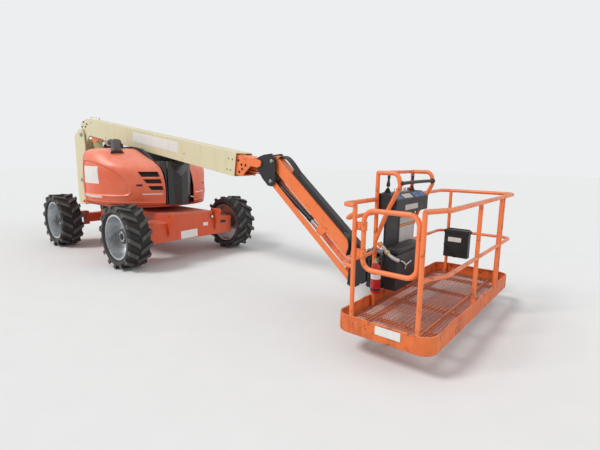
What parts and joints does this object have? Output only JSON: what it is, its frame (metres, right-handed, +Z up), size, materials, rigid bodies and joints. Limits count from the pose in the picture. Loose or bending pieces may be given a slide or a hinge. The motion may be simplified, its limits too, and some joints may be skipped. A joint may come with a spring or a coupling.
{
  "type": "articulating boom lift",
  "caption": "Self-propelled articulating boom lift, stowed: wheeled chassis, slewing turntable with hoods, telescopic tower and main booms, jib and railed work platform",
  "frame": {"origin": "on the ground, under the middle of the machine's whole stowed length and width", "axes": "+X towards the platform, +Y to the machine's left, +Z up"},
  "size_m": [8.82, 2.49, 2.569],
  "materials": {
    "tyre_rubber": "worn black tread rubber",
    "rim_zinc": "dull silver",
    "chassis_paint": "weathered orange-red paint",
    "dark_metal": "black painted steel",
    "hood_plastic": "sun-faded orange moulded plastic",
    "panel_plastic": "matt dark grey",
    "boom_paint": "satin cream paint",
    "rail_paint": "satin orange paint",
    "deck_paint": "orange paint worn to rust",
    "chrome_rod": "hard chrome",
    "cast_weight": "painted ballast",
    "engine_metal": "oily dark grey",
    "red_paint": "gloss red",
    "stack_steel": "heat-dulled steel"
  },
  "bodies": {
    "chassis": {"chassis_frame": "chassis_paint", "drive_hubs": "dark_metal", "steer_axle": "chassis_paint", "slew_ring": "dark_metal"},
    "front_left_wheel": {"front_left_tyre": "tyre_rubber", "front_left_rim": "rim_zinc"},
    "front_right_wheel": {"front_right_tyre": "tyre_rubber", "front_right_rim": "rim_zinc"},
    "rear_left_wheel": {"rear_left_tyre": "tyre_rubber", "rear_left_rim": "rim_zinc"},
    "rear_right_wheel": {"rear_right_tyre": "tyre_rubber", "rear_right_rim": "rim_zinc"},
    "left_steer": {"left_knuckle": "dark_metal"},
    "right_steer": {"right_knuckle": "dark_metal"},
    "tie_rod": {"steer_rod": "chrome_rod"},
    "turntable": {"turntable_frame": "chassis_paint", "counterweight": "cast_weight", "engine_block": "engine_metal", "front_cover": "panel_plastic", "side_panels": "panel_plastic"},
    "left_lid": {"left_hood": "hood_plastic"},
    "right_lid": {"right_hood": "hood_plastic", "exhaust_stack": "stack_steel"},
    "tower_outer": {"tower_base": "boom_paint"},
    "tower_inner": {"tower_fly": "boom_paint"},
    "tower_ram": {"tower_cylinder": "dark_metal"},
    "tower_ram_rod": {"tower_cylinder_rod": "chrome_rod"},
    "boom_upright": {"upright": "boom_paint"},
    "boom_outer": {"main_boom_base": "boom_paint", "tail_bracket": "rail_paint"},
    "boom_inner": {"main_boom_fly": "rail_paint"},
    "boom_ram": {"boom_cylinder": "dark_metal"},
    "boom_ram_rod": {"boom_cylinder_rod": "chrome_rod"},
    "nose_knuckle": {"boom_knuckle": "dark_metal"},
    "nose_rod": {"level_rod": "chrome_rod"},
    "jib_upper": {"jib_arm": "rail_paint", "jib_hose_cover": "panel_plastic"},
    "jib_lower": {"jib_link": "rail_paint"},
    "jib_ram": {"jib_cylinder": "dark_metal"},
    "jib_ram_rod": {"jib_cylinder_rod": "chrome_rod"},
    "head": {"platform_head": "rail_paint", "rotary_actuator": "dark_metal"},
    "platform": {"platform_deck": "deck_paint", "platform_bracket": "dark_metal", "platform_rails": "rail_paint", "console_box": "panel_plastic", "console_board": "panel_plastic", "manual_box": "panel_plastic", "extinguisher": "red_paint"},
    "platform_gate": {"gate": "rail_paint"}
  },
  "joints": [
    {"name": "front_left_roll", "type": "hinge", "parent": "chassis", "child": "front_left_wheel", "pos_m": [-0.54, 1.06, 0.5], "axis": [0, 1, 0], "continuous": true},
    {"name": "front_right_roll", "type": "hinge", "parent": "chassis", "child": "front_right_wheel", "pos_m": [-0.54, -1.06, 0.5], "axis": [0, 1, 0], "continuous": true},
    {"name": "steer", "type": "hinge", "parent": "chassis", "child": "left_steer", "pos_m": [-3.02, 0.8, 0.5], "axis": [0, 0, 1], "range_deg": [-30, 30]},
    {"name": "steer_right", "type": "hinge", "parent": "chassis", "child": "right_steer", "pos_m": [-3.02, -0.8, 0.5], "axis": [0, 0, 1], "range_deg": [-30, 30]},
    {"name": "tie_rod_slide", "type": "slide", "parent": "chassis", "child": "tie_rod", "axis": [0, -1, 0], "range_m": [-0.09, 0.09]},
    {"name": "rear_left_roll", "type": "hinge", "parent": "left_steer", "child": "rear_left_wheel", "pos_m": [-3.02, 1.06, 0.5], "axis": [0, 1, 0], "continuous": true},
    {"name": "rear_right_roll", "type": "hinge", "parent": "right_steer", "child": "rear_right_wheel", "pos_m": [-3.02, -1.06, 0.5], "axis": [0, 1, 0], "continuous": true},
    {"name": "slew", "type": "hinge", "parent": "chassis", "child": "turntable", "pos_m": [-1.78, 0, 0.835], "axis": [0, 0, 1], "range_deg": [-180, 180]},
    {"name": "left_hood_lift", "type": "hinge", "parent": "turntable", "child": "left_lid", "pos_m": [-1.78, 0.295, 1.883], "axis": [1, 0, 0], "range_deg": [0, 55]},
    {"name": "right_hood_lift", "type": "hinge", "parent": "turntable", "child": "right_lid", "pos_m": [-1.78, -0.295, 1.883], "axis": [-1, 0, 0], "range_deg": [0, 55]},
    {"name": "tower_lift", "type": "hinge", "parent": "turntable", "child": "tower_outer", "pos_m": [-0.88, 0, 1.4], "axis": [0, 1, 0], "range_deg": [0, 75]},
    {"name": "tower_extend", "type": "slide", "parent": "tower_outer", "child": "tower_inner", "axis": [-0.9981, 0, -0.0609], "range_m": [0, 2.25]},
    {"name": "upright_level", "type": "hinge", "parent": "tower_inner", "child": "boom_upright", "pos_m": [-4.16, 0, 1.2], "axis": [0, 1, 0], "range_deg": [-75, 0]},
    {"name": "tower_ram_swing", "type": "hinge", "parent": "turntable", "child": "tower_ram", "pos_m": [-1.03, 0, 1.02], "axis": [0, 1, 0], "range_deg": [-1, 71]},
    {"name": "tower_ram_stroke", "type": "slide", "parent": "tower_ram", "child": "tower_ram_rod", "axis": [-0.9985, 0, 0.0543], "range_m": [0, 0.53]},
    {"name": "boom_lift", "type": "hinge", "parent": "boom_upright", "child": "boom_outer", "pos_m": [-4.05, 0, 2.2], "axis": [0, -1, 0], "range_deg": [0, 83]},
    {"name": "boom_extend", "type": "slide", "parent": "boom_outer", "child": "boom_inner", "axis": [0.9889, 0, -0.1488], "range_m": [0, 3.6]},
    {"name": "boom_ram_swing", "type": "hinge", "parent": "boom_upright", "child": "boom_ram", "pos_m": [-3.98, 0, 1.46], "axis": [0, -1, 0], "range_deg": [-1, 49]},
    {"name": "boom_ram_stroke", "type": "slide", "parent": "boom_ram", "child": "boom_ram_rod", "axis": [0.8292, 0, 0.5589], "range_m": [0, 0.7]},
    {"name": "knuckle_level", "type": "hinge", "parent": "boom_inner", "child": "nose_knuckle", "pos_m": [1.46, 0, 1.66], "axis": [0, -1, 0], "range_deg": [-83, 0]},
    {"name": "level_rod_stroke", "type": "slide", "parent": "boom_inner", "child": "nose_rod", "axis": [0.9889, 0, -0.1488], "range_m": [-0.21, 0]},
    {"name": "jib_lift", "type": "hinge", "parent": "nose_knuckle", "child": "jib_upper", "pos_m": [1.69, 0, 1.69], "axis": [0, 1, 0], "range_deg": [-110.4, 19.6]},
    {"name": "jib_link_swing", "type": "hinge", "parent": "nose_knuckle", "child": "jib_lower", "pos_m": [1.67, 0, 1.42], "axis": [0, 1, 0], "range_deg": [-110.4, 19.6]},
    {"name": "head_level", "type": "hinge", "parent": "jib_upper", "child": "head", "pos_m": [3.03, 0, 0.55], "axis": [0, 1, 0], "range_deg": [-19.6, 110.4]},
    {"name": "jib_ram_swing", "type": "hinge", "parent": "nose_knuckle", "child": "jib_ram", "pos_m": [1.67, 0, 1.42], "axis": [0, 1, 0], "range_deg": [-107.5, 19.5]},
    {"name": "jib_ram_stroke", "type": "slide", "parent": "jib_ram", "child": "jib_ram_rod", "axis": [0.804, 0, -0.5946], "range_m": [-0.08, 0.43]},
    {"name": "platform_turn", "type": "hinge", "parent": "head", "child": "platform", "pos_m": [3.24, 0, 0.5], "axis": [0, 0, 1], "range_deg": [-90, 90]},
    {"name": "gate_swing", "type": "hinge", "parent": "platform", "child": "platform_gate", "pos_m": [3.755, -1.15, 0.95], "axis": [0, 0, 1], "range_deg": [0, 90]}
  ],
  "couplings": [
    {"joint": "steer_right", "follows": "steer", "ratio": 1},
    {"joint": "tie_rod_slide", "follows": "steer", "m_per_rad": 0.162},
    {"joint": "tower_extend", "follows": "tower_lift", "m_per_rad": 1.7188},
    {"joint": "upright_level", "follows": "tower_lift", "ratio": -1},
    {"joint": "tower_ram_swing", "follows": "tower_lift", "ratio": 0.935},
    {"joint": "tower_ram_stroke", "follows": "tower_lift", "m_per_rad": 0.399},
    {"joint": "boom_ram_swing", "follows": "boom_lift", "ratio": 0.575},
    {"joint": "boom_ram_stroke", "follows": "boom_lift", "m_per_rad": 0.474},
    {"joint": "knuckle_level", "follows": "boom_lift", "ratio": -1},
    {"joint": "level_rod_stroke", "follows": "boom_lift", "m_per_rad": -0.138},
    {"joint": "jib_link_swing", "follows": "jib_lift", "ratio": 1},
    {"joint": "head_level", "follows": "jib_lift", "ratio": -1},
    {"joint": "jib_ram_swing", "follows": "jib_lift", "ratio": 0.965},
    {"joint": "jib_ram_stroke", "follows": "jib_lift", "m_per_rad": -0.22}
  ]
}
